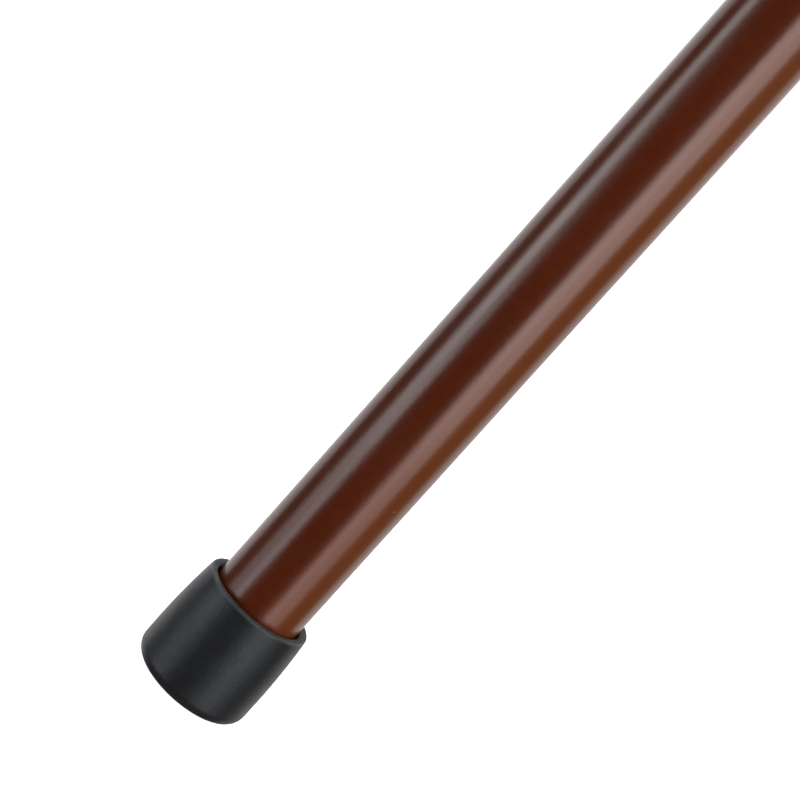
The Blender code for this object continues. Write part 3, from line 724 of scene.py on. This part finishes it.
def make_tube_plug(word):
    """Plug in a side tube's lower end, with a shallow dished face."""
    node = f"{word}_tube_plug"
    low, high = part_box(node)
    place = middle(node)
    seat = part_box(f"{word}_side_tube")[0].z
    radius = BOW_R
    profile = filleted(
        [(0.0, high.z), (7.9 * MM, high.z), (8.0 * MM, seat - 0.15 * MM), (radius, seat - 0.15 * MM),
         (radius, low.z + 1.0 * MM), (radius - 1.4 * MM, low.z), (radius - 4 * MM, low.z),
         (radius - 4.6 * MM, low.z + 0.6 * MM), (0.0, low.z + 0.6 * MM)],
        [0, 0.4 * MM, 0, 0.2 * MM, 0.9 * MM, 1.2 * MM, 0.2 * MM, 0.2 * MM, 0], steps=5)
    piece = lathe(f"{node}_look", profile, PLASTIC, centre=(place.x, 0, 0), steps=72)
    stands_for(piece, node)


# ---------------------------------------------------------------- yokes and their bolts

def yoke_outline(mid_r, end_r, end_x, fine=24):
    lean = math.asin((mid_r - end_r) / end_x)
    quarter = math.pi / 2
    right = arc((end_x, 0.0), end_r, lean - quarter, quarter - lean, fine)
    back = arc((0.0, 0.0), mid_r, quarter - lean, quarter + lean, 5)
    return right + back + [(-x, -y) for x, y in right] + [(-x, -y) for x, y in back]


def make_yoke(word):
    """Moulded yoke with rounded rims, a groove near each rim, and bolt seats."""
    node = f"{word}_yoke"
    place, half = middle(node), half_size(node)
    end_x = middle("right_tube_plug").x
    mid_r = half.y
    end_r = half.x - end_x
    rim = 1.8 * MM
    groove = (half.z - 5.5 * MM)
    turns = spaced(0.0, math.pi / 2, 7)
    rows = [(rim * (1 - math.sin(a)), -half.z + rim * (1 - math.cos(a))) for a in turns]
    for centre in (-groove, groove):
        for inset, step in ((0.0, -1.0), (0.45, -0.7), (0.75, -0.35), (0.75, 0.35), (0.45, 0.7),
                            (0.0, 1.0)):
            rows.append((inset * MM, centre + step * MM))
    rows += [(inset, -z) for inset, z in reversed(rows[:len(turns)])]
    rings = [
        [place + Vector((x, y, z)) for x, y in yoke_outline(mid_r - inset, end_r - inset, end_x)]
        for inset, z in rows
    ]
    yoke = show(f"{node}_look", grid_mesh(node, rings), PLASTIC)
    tube_r = half_size("centre_tube").x
    cutters = [rod_tool("bore", tube_r + 0.12 * MM, 2 * half.z, "z", place, steps=96)]
    for side in (-1, 1):
        cutters.append(rod_tool("bore", BOW_CLEAR_R, 2 * half.z, "z",
                                (side * end_x, 0, place.z), steps=72))
        cutters.append(rod_tool("seat", 6.5 * MM, 3 * MM, "x", (side * 39.0 * MM, 0, place.z)))
    cutters.append(rod_tool("bolt_hole", BOLT_HOLE_R, 2 * half.x, "x", place))
    cut(yoke, cutters, bevel=0.25 * MM)
    stands_for(yoke, node)


def rounded_rectangle(half_x, half_y, radius):
    outline = []
    for sx, sy, start in ((1, 1, 0), (-1, 1, 1), (-1, -1, 2), (1, -1, 3)):
        centre = (sx * (half_x - radius), sy * (half_y - radius))
        outline += arc(centre, radius, start * math.pi / 2, (start + 1) * math.pi / 2, 7)
    return outline


def hexagon(radius):
    return [(radius * math.cos(a), radius * math.sin(a)) for a in spaced(0, TAU * 5 / 6, 6)]


def thread(low, high):
    """Shape function: a helical thread on a bolt's shank between two heights."""
    def shape(r, h, a):
        if abs(r - BOLT_R) > 1e-6 or not low < h < high:
            return r
        fade = min(1.0, (h - low) / THREAD_PITCH, (high - h) / THREAD_PITCH)
        phase = (h / THREAD_PITCH + a / TAU) % 1.0
        return r - THREAD_DEPTH * fade * abs(2 * phase - 1)
    return shape


def make_yoke_bolt(word):
    """Button-head bolt with a hexagon socket and a threaded end."""
    node = f"{word}_yoke_bolt"
    low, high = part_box(node)
    place = middle(node)
    head_r = half_size(node).y
    under = -middle(f"{word}_yoke_nut").x + half_size(f"{word}_yoke_nut").x
    seat = -under
    top = -low.x
    profile = filleted(
        [(0.0, top), (head_r * 0.55, top), (head_r, top - 2.2 * MM), (head_r, seat),
         (BOLT_R, seat)],
        [0, 2.5 * MM, 0.6 * MM, 0.15 * MM, 0], steps=7)
    end = high.x
    profile += [(BOLT_R, z) for z in spaced(seat - 1 * MM, -end + 8 * MM, 4)]
    profile += [(BOLT_R, z) for z in spaced(-end + 7.9 * MM, -end + 0.6 * MM, 60)]
    profile += [(2.4 * MM, -end), (0.0, -end)]
    bolt = lathe(f"{node}_look", profile, STEEL_X, axis="-x", centre=(0, 0, place.z), steps=64,
                 shape=thread(-end + 0.5 * MM, -end + 8 * MM))
    socket = outline_mesh("socket", hexagon(2.3 * MM), 1.1 * MM, 0.0, AXES["-x"],
                          (-(top - 0.5 * MM), 0, place.z), steps=0)
    cut(bolt, [tool("socket", socket)])
    stands_for(bolt, node)


def make_hex_nut(node):
    """Hexagon nut with turned chamfers and a plain bore."""
    place, half = middle(node), half_size(node)
    corner_r = max(half.y, half.z)
    nut = show(f"{node}_look", outline_mesh(node, hexagon(corner_r), half.x, 0.0, AXES["x"], place,
                                            steps=0), STEEL_X)
    waist = corner_r + 0.2 * MM
    ends = corner_r * 0.87
    barrel = lathe_mesh("barrel", [(0.0, -half.x), (ends, -half.x), (waist, -half.x + 1.1 * MM),
                                   (waist, half.x - 1.1 * MM), (ends, half.x), (0.0, half.x)],
                        "x", place)
    cut(nut, [tool("barrel", barrel)], operation="INTERSECT")
    cut(nut, [rod_tool("bore", NUT_BORE_R, 2 * half.x, "x", place)], bevel=0.12 * MM)
    stands_for(nut, node)


# ---------------------------------------------------------------- hand grip

def make_grip():
    """Grip core with end flanges, and the foam sleeve, pressed in a little on its front."""
    core = half_size("grip_core")
    place = middle("grip_core")
    flange_r = core.z
    end = core.x
    flange_in = half_size("grip_foam").x + 0.15 * MM
    profile = filleted(
        [(BOLT_HOLE_R, end), (flange_r, end), (flange_r, flange_in), (9.0 * MM, flange_in),
         (9.0 * MM, -flange_in), (flange_r, -flange_in), (flange_r, -end), (BOLT_HOLE_R, -end)],
        [0.2 * MM, 0.8 * MM, 0.5 * MM, 0, 0, 0.5 * MM, 0.8 * MM, 0.2 * MM], closed=True, steps=5)
    stands_for(lathe("grip_core_look", profile, PLASTIC, axis="x", centre=place, closed=True),
               "grip_core")

    foam = half_size("grip_foam")
    mid_r, half = foam.z, foam.x
    end_r = mid_r - 1.4 * MM
    edge = 2.2 * MM
    barrel = [
        (mid_r - (mid_r - end_r) * (x / half) ** 2, x) for x in spaced(half - edge, edge - half, 60)
    ]
    corner = barrel[0][0]
    start = arc((corner - edge, half - edge), edge, math.pi / 2, 0.1, 8)
    finish_arc = [(r, -x) for r, x in reversed(start)]
    inner = 9.15 * MM
    sleeve = [(inner, half)] + start + barrel + finish_arc + [(inner, -half)]

    def soft(r, h, a):
        if r < inner + 2 * MM:
            return r
        point = Vector((h * 60, math.cos(a) * 1.4, math.sin(a) * 1.4))
        press = 0.35 * MM * max(0.0, math.cos(a)) * math.exp(-((h / (28 * MM)) ** 2))
        return r - 0.12 * MM * (1 + noise.noise(point * 2.0)) - press

    piece = lathe("grip_foam_look", sleeve, GRIP_FOAM, axis="x", centre=place, closed=True,
                  steps=128, shape=soft)
    stands_for(piece, "grip_foam")


def make_grip_saddle(side, word):
    """End piece that hugs a side tube."""
    node = f"{word}_grip_saddle"
    low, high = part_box(node)
    place = middle(node)
    near = min(abs(low.x), abs(high.x))
    far = max(abs(low.x), abs(high.x))
    radius = half_size(node).z
    profile = filleted(
        [(BOLT_HOLE_R, far), (radius, far), (radius, near + 4 * MM), (radius - 0.6 * MM, near),
         (BOLT_HOLE_R, near)],
        [0.2 * MM, 1.2 * MM, 1.0 * MM, 0.8 * MM, 0.2 * MM], closed=True, steps=5)
    saddle = lathe(f"{node}_look", profile, PLASTIC, axis="x" if side > 0 else "-x",
                   centre=(0, 0, place.z), closed=True)
    tube_x = side * middle("right_saddle_screw").x
    groove = rod_tool("groove", BOW_CLEAR_R, 3 * radius, "z", (tube_x, 0, place.z), steps=96)
    cut(saddle, [groove], bevel=0.35 * MM)
    stands_for(saddle, node)


def make_washer(node):
    """Plain washer with softened edges."""
    place, half = middle(node), half_size(node)
    profile = ring_profile(BOLT_HOLE_R, half.z, -half.x, half.x, 0.25 * MM)
    stands_for(lathe(f"{node}_look", profile, STEEL_X, axis="x", centre=place, closed=True),
               node)


def make_grip_bolt():
    """Long bolt through both side tubes, with a hexagon socket and a threaded end."""
    low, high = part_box("grip_bolt")
    place = middle("grip_bolt")
    head_r = half_size("grip_bolt").z
    top = -low.x
    seat = -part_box("bolt_head_washer")[0].x + 0.2 * MM
    end = high.x
    profile = filleted(
        [(0.0, top), (head_r * 0.5, top), (head_r * 0.9, top - 1.5 * MM), (head_r, seat),
         (BOLT_R, seat)],
        [0, 3 * MM, 2 * MM, 0.3 * MM, 0], steps=8)
    thread_start = 70.0 * MM
    profile += [(BOLT_R, z) for z in spaced(seat - 1 * MM, -thread_start, 6)]
    profile += [(BOLT_R, z) for z in spaced(-thread_start - 0.1 * MM, -end + 0.7 * MM, 200)]
    profile += [(2.3 * MM, -end), (0.0, -end)]
    bolt = lathe("grip_bolt_look", profile, STEEL_X, axis="-x", centre=(0, 0, place.z), steps=64,
                 shape=thread(-end + 0.6 * MM, -thread_start))
    socket = outline_mesh("socket", hexagon(2.6 * MM), 1.3 * MM, 0.0, AXES["-x"],
                          (-(top - 0.6 * MM), 0, place.z), steps=0)
    cut(bolt, [tool("socket", socket)])
    stands_for(bolt, "grip_bolt")


def make_wing_nut():
    """Cast wing nut: hub and ears melted together by a fine remesh."""
    low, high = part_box("wing_nut")
    place = middle("wing_nut")
    base = low.x
    reach = half_size("wing_nut").z
    hub = lathe_mesh("hub", filleted([(0.0, base), (5.4 * MM, base), (4.6 * MM, base + 6.5 * MM),
                                      (0.0, base + 6.5 * MM)],
                                     [0, 0.5 * MM, 0.6 * MM, 0]),
                     "x", (0, 0, place.z), steps=48)
    objects = [show("wing_hub", hub, STEEL_X)]
    ear_r = 4.1 * MM
    for side in (-1, 1):
        ear = [(2.0 * MM, base + 1.0 * MM), (5.2 * MM, base + 1.0 * MM)]
        ear += arc((reach - ear_r, high.x - ear_r), ear_r, -math.pi / 4, math.pi * 0.8, 14)
        ear.append((2.0 * MM, base + 5.8 * MM))
        flat = [(side * across, along) for across, along in ear]
        # the outline's X lies across the bolt, along Z, and its Y along the bolt, along X
        turn = Matrix(((0, 1, 0), (0, 0, 1), (1, 0, 0)))
        mesh = outline_mesh("ear", flat, 1.25 * MM, 0.7 * MM, turn, (0, 0, place.z))
        objects.append(show("wing_ear", mesh, STEEL_X))
    nut = joined("wing_nut_look", objects)
    melt = nut.modifiers.new("melt", "REMESH")
    melt.mode = "VOXEL"
    melt.voxel_size = 0.33 * MM
    melt.use_smooth_shade = True
    smooth = nut.modifiers.new("smooth", "SMOOTH")
    smooth.factor = 0.5
    smooth.iterations = 4
    baked(nut)
    cut(nut, [rod_tool("bore", NUT_BORE_R, 20 * MM, "x", (base, 0, place.z))])
    nut.data.materials.clear()
    nut.data.materials.append(STEEL_X)
    stands_for(nut, "wing_nut")


# ---------------------------------------------------------------- underarm rest

def cushion_centre():
    """Centre of the arcs that the cushion and the saddle's bar follow."""
    return Vector((0.0, 0.0, CUSHION_CENTRE_Z))


def arc_point(x_angle, radius):
    """Point on the XZ arc, angle from straight down."""
    centre = cushion_centre()
    return centre + Vector((radius * math.sin(x_angle), 0.0, -radius * math.cos(x_angle)))


def make_cushion():
    """Moulded foam cushion: crowned above, flatter below, round ends, a raised parting seam."""
    half_x, half_y = half_size("underarm_cushion").x, half_size("underarm_cushion").y
    thick = CUSHION_THICKNESS
    mid_r = CUSHION_ARC_R + thick / 2
    swing = math.asin((half_x - 0.3 * MM) / mid_r)
    quarter = [0.0, 0.007, 0.014, 0.024, 0.035, 0.048, 0.064, 0.085]
    quarter += spaced(0.12, math.pi / 2, 22)
    half_turn = quarter + [math.pi - a for a in reversed(quarter[:-1])]
    angles = half_turn[:-1] + [math.pi + a for a in half_turn[:-1]]
    rings = []
    for i in range(97):
        s = -math.cos(math.pi * i / 96)
        round_end = (1 - abs(s) ** 7) ** (1 / 2.2)
        waist = 1 - 0.06 * math.cos(s * math.pi / 2) ** 2
        ring = []
        for a in angles:
            c, n = math.cos(a), math.sin(a)
            across = math.copysign(abs(c) ** 0.78, c)
            upward = math.copysign(abs(n) ** (0.80 if n > 0 else 0.62), n)
            wide = half_y * round_end * waist
            tall = thick / 2 * round_end
            lift = upward * (tall - 0.2 * MM)
            away = abs(lift) / MM
            ridge = 0.95 * math.exp(-((away / 0.7) ** 2))
            ditch = 0.55 * math.exp(-(((away - 2.0) / 0.9) ** 2))
            y = across * (wide - 0.75 * MM) + math.copysign((ridge - ditch) * round_end * MM, c)
            if n > 0:
                lift -= 0.5 * MM * (1 - abs(c)) * math.cos(s * math.pi / 2) ** 4
            point = arc_point(s * swing, mid_r - lift)
            ring.append(Vector((point.x, y, point.z)))
        rings.append(ring)
    cushion = show("underarm_cushion_look", grid_mesh("cushion", rings), CUSHION_SKIN)
    ripple = Vector((31.0, 17.0, 23.0))
    for vertex in cushion.data.vertices:
        wave = noise.noise(Vector(vertex.co) * 38.0 + ripple)
        vertex.co += Vector(vertex.normal) * (0.35 * MM * (wave - 0.6))
    socket_x = middle("right_saddle_screw").x
    cutters = [
        rod_tool("opening", 12.75 * MM, 20 * MM, "z", (side * socket_x, 0, 1182.0 * MM), steps=96)
        for side in (-1, 1)
    ]
    cut(cushion, cutters, bevel=0.9 * MM)
    stands_for(cushion, "underarm_cushion")


def make_saddle():
    """Moulded saddle: the bar inside the cushion, and two ribbed sockets below it."""
    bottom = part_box("underarm_saddle")[0].z
    half_x = half_size("underarm_saddle").x
    swing = math.asin((half_x - 6 * MM) / BAR_MID_R)
    rings = []
    for i in range(49):
        s = -math.cos(math.pi * i / 48)
        end = (1 - abs(s) ** 12) ** 0.5
        ring = []
        for k in range(32):
            a = TAU * k / 32
            c, n = math.cos(a), math.sin(a)
            across = math.copysign(abs(c) ** 0.4, c) * 11 * MM * end
            lift = math.copysign(abs(n) ** 0.4, n) * 5.8 * MM * end
            point = arc_point(s * swing, BAR_MID_R - lift)
            ring.append(Vector((point.x, across, point.z)))
        rings.append(ring)
    pieces = [show("bar", grid_mesh("bar", rings), PLASTIC)]
    top = 1206.0 * MM
    bore = 9.65 * MM
    outer = SOCKET_R
    for side, word in ((-1, "left"), (1, "right")):
        screw = middle(f"{word}_saddle_screw")
        corners = [(bore, SOCKET_CEILING), (bore, bottom), (outer - 0.5 * MM, bottom),
                   (outer, bottom + 1.2 * MM), (outer, bottom + 4.2 * MM),
                   (outer - 0.7 * MM, bottom + 5.0 * MM), (outer - 0.7 * MM, bottom + 22 * MM),
                   (outer - 0.1 * MM, bottom + 25 * MM), (outer - 0.1 * MM, top), (0.0, top)]
        radii = [0, 0.5 * MM, 0.8 * MM, 0.5 * MM, 0.5 * MM, 0.6 * MM, 2 * MM, 1 * MM, 0, 0]
        profile = [(0.0, SOCKET_CEILING)] + filleted(corners, radii, steps=5)
        socket = lathe("socket", profile, PLASTIC, centre=(screw.x, 0, 0))
        hole = rod_tool("screw_hole", SCREW_HOLE_R, 6 * MM, "-y", (screw.x, -12 * MM, screw.z))
        pad = rod_tool("screw_seat", 4.6 * MM, 1.2 * MM, "-y", (screw.x, -12.9 * MM, screw.z))
        pieces.append(cut(socket, [hole, pad]))
    stands_for(joined("underarm_saddle_look", pieces), "underarm_saddle")


def make_saddle_screw(word):
    """Cross-recessed screw through a socket's wall."""
    node = f"{word}_saddle_screw"
    low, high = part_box(node)
    place = middle(node)
    top = -low.y
    seat = 12.0 * MM
    head_r = half_size(node).x
    profile = filleted(
        [(0.0, top), (head_r * 0.5, top), (head_r, top - 1.5 * MM), (head_r, seat),
         (2.0 * MM, seat), (2.0 * MM, -high.y), (0.0, -high.y)],
        [0, 2 * MM, 0.5 * MM, 0.1 * MM, 0, 0.6 * MM, 0], steps=7)
    screw = lathe(f"{node}_look", profile, STEEL_Y, axis="-y", centre=(place.x, 0, place.z),
                  steps=64)
    long, thin = 2.1 * MM, 0.42 * MM
    plus = []
    for turn in range(4):
        c, n = math.cos(turn * math.pi / 2), math.sin(turn * math.pi / 2)
        plus += [(x * c - y * n, x * n + y * c)
                 for x, y in ((thin, -thin), (long, -thin), (long, thin))]
    tilt = AXES["-y"] @ Matrix.Rotation(0.4, 3, "Z")
    cross = outline_mesh("cross", plus, 0.9 * MM, 0.0, tilt,
                         (place.x, -(top - 0.35 * MM), place.z), steps=0)
    cut(screw, [tool("cross", cross)])
    stands_for(screw, node)


def finish_inner_nodes():
    """The pieces that stay as CAD solids, inside the tubes, get their materials."""
    for node, finish in (("ferrule_washer", STEEL_Z), ("leg_plug", PLASTIC),
                         ("button_spring", SPRING)):
        slots = frame["nodes"][node].data.materials
        slots.clear()
        slots.append(finish)


# ---------------------------------------------------------------- studio

def make_floor():
    """Large pale floor, bright enough to run out of sight like a studio sweep."""
    n = Nodes("pale_floor")
    tone = n.ramp(n.noise(2.0, 3.0), 0.3, 0.7)
    color = n.mix(tone, (0.86, 0.86, 0.86), (0.90, 0.90, 0.90))
    material = n.finish(color, None, None, Roughness=0.9, Specular_IOR_Level=0.1,
                        Emission_Color=(1, 1, 1, 1), Emission_Strength=1.0)
    bm = bmesh.new()
    bmesh.ops.create_grid(bm, x_segments=2, y_segments=2, size=30.0)
    mesh = bpy.data.meshes.new("floor")
    bm.to_mesh(mesh)
    bm.free()
    floor = show("floor", mesh, material, smooth=False)
    floor.visible_glossy = False
    floor.visible_diffuse = False
    floor.visible_shadow = False


def soft_box(name, azimuths, heights, radiance, colour):
    """Upright soft box 1.1 m away between two azimuths from -Y, positive towards +X."""
    distance = 1.1
    angle = math.radians(sum(azimuths) / 2)
    half_angle = math.radians(abs(azimuths[1] - azimuths[0]) / 2)
    light = bpy.data.lights.new(name, "AREA")
    light.shape = "RECTANGLE"
    light.size = 2 * distance * math.tan(half_angle)
    light.size_y = heights[1] - heights[0]
    light.energy = 4 * radiance * light.size * light.size_y
    light.color = colour
    obj = bpy.data.objects.new(name, light)
    scene.collection.objects.link(obj)
    obj.location = (distance * math.sin(angle), -distance * math.cos(angle), sum(heights) / 2)
    inward = Vector((-obj.location.x, -obj.location.y, 0.0))
    obj.rotation_euler = inward.to_track_quat("-Z", "Y").to_euler()


def make_lights():
    """Soft boxes at the sides, dim ones behind, one overhead; a white backdrop for the camera."""
    soft_box("left_high", (-84, -66), (0.10, 1.75), 3.1, (0.98, 1.0, 0.99))
    soft_box("left_middle", (-80, -57), (-0.05, 0.10), 4.6, (0.98, 1.0, 0.99))
    soft_box("left_lower", (-76, -43), (-0.19, -0.05), 3.7, (0.98, 1.0, 0.99))
    soft_box("left_low_near", (-56, -41), (-0.95, -0.19), 2.5, (1.0, 0.96, 1.0))
    soft_box("left_low_far", (-80, -56), (-0.95, -0.19), 1.0, (1.0, 0.97, 1.0))
    soft_box("right_near", (27, 46), (-0.16, 1.75), 3.5, (1.0, 0.98, 0.95))
    soft_box("right_far", (46, 71), (-0.16, 1.75), 2.5, (1.0, 0.98, 0.95))
    soft_box("right_low_near", (34, 50), (-0.95, -0.16), 1.85, (1.0, 0.98, 0.95))
    soft_box("right_low_far", (50, 72), (-0.95, -0.16), 1.25, (1.0, 0.98, 0.95))
    soft_box("back_left", (-174, -114), (-0.95, 1.75), 0.95, (1.0, 1.0, 1.0))
    soft_box("back_right", (119, 172), (-0.95, 1.75), 0.72, (1.0, 1.0, 1.0))
    overhead = bpy.data.lights.new("overhead", "AREA")
    overhead.size = 1.6
    overhead.energy = 4 * 2.0 * overhead.size**2
    lamp = bpy.data.objects.new("overhead", overhead)
    scene.collection.objects.link(lamp)
    lamp.location = (0.0, 0.6, 2.7)
    world = bpy.data.worlds.new("studio")
    scene.world = world
    world.use_nodes = True
    tree = world.node_tree
    background = tree.nodes["Background"]
    background.inputs["Strength"].default_value = 1.0
    path = tree.nodes.new("ShaderNodeLightPath")
    mix = tree.nodes.new("ShaderNodeMix")
    mix.data_type = "RGBA"
    mix.inputs[6].default_value = (0.04, 0.04, 0.04, 1.0)
    mix.inputs[7].default_value = (1.0, 1.0, 1.0, 1.0)
    tree.links.new(path.outputs["Is Camera Ray"], mix.inputs["Factor"])
    tree.links.new(mix.outputs[2], background.inputs["Color"])


def make_camera():
    """Camera 0.43 m in front of the foot and 0.17 m up, rolled so the leg leans to the right."""
    data = bpy.data.cameras.new("camera")
    data.sensor_width = 36.0
    data.lens = 92.28
    data.clip_start = 0.01
    data.clip_end = 100.0
    camera = bpy.data.objects.new("camera", data)
    scene.collection.objects.link(camera)
    scene.camera = camera
    place = Vector((0.0, -0.4311, 0.1729))
    yaw, pitch, roll = (math.radians(v) for v in (-0.855, -12.074, 41.70))
    forward = Vector((math.sin(yaw) * math.cos(pitch), math.cos(yaw) * math.cos(pitch),
                      math.sin(pitch)))
    right = forward.cross(Vector((0, 0, 1))).normalized()
    up = right.cross(forward)
    rolled_right = right * math.cos(roll) + up * math.sin(roll)
    rolled_up = up * math.cos(roll) - right * math.sin(roll)
    turn = Matrix((rolled_right, rolled_up, -forward)).transposed()
    camera.matrix_world = Matrix.Translation(place) @ turn.to_4x4()


make_camera()
make_ferrule()
make_leg()
make_button()
make_centre_tube()
make_collar()
make_centre_cap()
for side, word in ((-1, "left"), (1, "right")):
    make_side_tube(side, word)
    make_tube_plug(word)
    make_grip_saddle(side, word)
    make_saddle_screw(word)
for word in ("lower", "upper"):
    make_yoke(word)
    make_yoke_bolt(word)
    make_hex_nut(f"{word}_yoke_nut")
make_grip()
make_washer("bolt_head_washer")
make_washer("nut_washer")
make_grip_bolt()
make_wing_nut()
make_cushion()
make_saddle()
finish_inner_nodes()
make_floor()
make_lights()
scene.view_settings.view_transform = "Standard"
